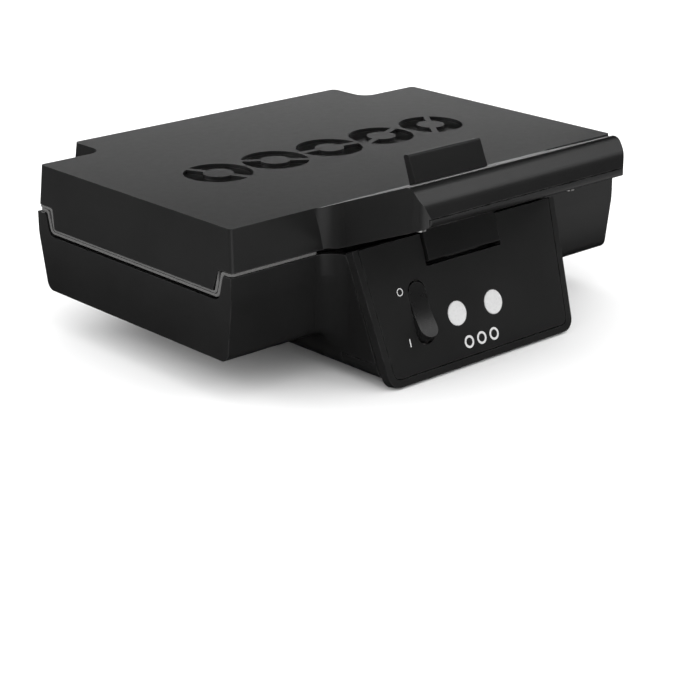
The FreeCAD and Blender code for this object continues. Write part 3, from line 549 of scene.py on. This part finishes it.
for corner in ("front_left", "front_right", "rear_left", "rear_right"):
    low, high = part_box("foot_" + corner)
    planted = bpy.data.objects.new("rubber_foot_" + corner, foot.data.copy())
    bpy.context.scene.collection.objects.link(planted)
    planted.data.transform(Matrix.Translation(((low.x + high.x) / 2, (low.y + high.y) / 2, low.z)))
    planted.data.materials.append(foot_rubber)
    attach(planted, "base")
    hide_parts("foot_" + corner)
bpy.data.objects.remove(foot)


# ---- Cord gland ---------------------------------------------------------------------------------
# A flexible sleeve of black rubber with ribs round it. Two flanges grip the back wall between
# them, and the cord would leave through the bore.
GLAND_BORE_R = 0.0036
GLAND_NECK_R = 0.0051
GLAND_FLANGE_R = 0.0059
GLAND_SLEEVE_R = 0.0049
GLAND_RIB_R = 0.0042
GLAND_RIBS = 4
FLANGE_LONG = 0.002
NECK_LONG = 0.0042
RIB_LONG = 0.0007
GAP_LONG = 0.0006
GLAND_EDGE = 0.00015

gland_rubber = small_part("gland_rubber", 0.016, 0.022, 0.0, 0.6, 0.0006, 0.00002)


def raise_step(radius_from, radius_to, length):
    """Steps the end face to a new radius and draws it out."""
    bpy.ops.mesh.extrude_region_move(TRANSFORM_OT_translate={"value": (0, 0, 0)})
    bpy.ops.transform.resize(value=(radius_to / radius_from, radius_to / radius_from, 1.0))
    bpy.ops.mesh.extrude_region_move(TRANSFORM_OT_translate={"value": (0, 0, length)})


gland_low, gland_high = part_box("cord_gland")
gland_middle = (gland_low + gland_high) / 2
bpy.ops.object.select_all(action="DESELECT")
bpy.ops.mesh.primitive_cylinder_add(vertices=64, radius=GLAND_FLANGE_R, depth=FLANGE_LONG,
                                    location=(0.0, 0.0, FLANGE_LONG / 2))
gland = begin("ribbed_gland")
pick_faces(gland, lambda centre, normal: normal.z > 0.9)
raise_step(GLAND_FLANGE_R, GLAND_NECK_R, NECK_LONG)
raise_step(GLAND_NECK_R, GLAND_FLANGE_R, FLANGE_LONG)
raise_step(GLAND_FLANGE_R, GLAND_RIB_R, GAP_LONG)
for i in range(GLAND_RIBS):
    raise_step(GLAND_RIB_R, GLAND_SLEEVE_R, RIB_LONG)
    raise_step(GLAND_SLEEVE_R, GLAND_RIB_R, GAP_LONG)
bpy.ops.mesh.inset(thickness=GLAND_RIB_R - GLAND_BORE_R)
bpy.ops.mesh.delete(type="FACE")
pick_faces(gland, lambda centre, normal: normal.z < -0.9 and centre.z < 0.0001)
bpy.ops.mesh.inset(thickness=GLAND_FLANGE_R - GLAND_BORE_R)
bpy.ops.mesh.delete(type="FACE")
bpy.ops.mesh.select_mode(type="EDGE")
bpy.ops.mesh.select_non_manifold()
bpy.ops.mesh.bridge_edge_loops()
bpy.ops.mesh.select_all(action="SELECT")
bpy.ops.mesh.normals_make_consistent(inside=False)
back_facing = Matrix.Rotation(-math.pi / 2, 4, "X")
settle(gland, Matrix.Translation((gland_middle.x, gland_low.y, gland_middle.z)) @ back_facing)
soft_ribs = gland.modifiers.new("soft_ribs", "BEVEL")
soft_ribs.width = GLAND_EDGE
soft_ribs.segments = 2
soft_ribs.limit_method = "ANGLE"
bpy.ops.object.modifier_apply(modifier="soft_ribs")
smooth(gland, 45)
gland.data.materials.append(gland_rubber)
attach(gland, "base")
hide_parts("cord_gland")
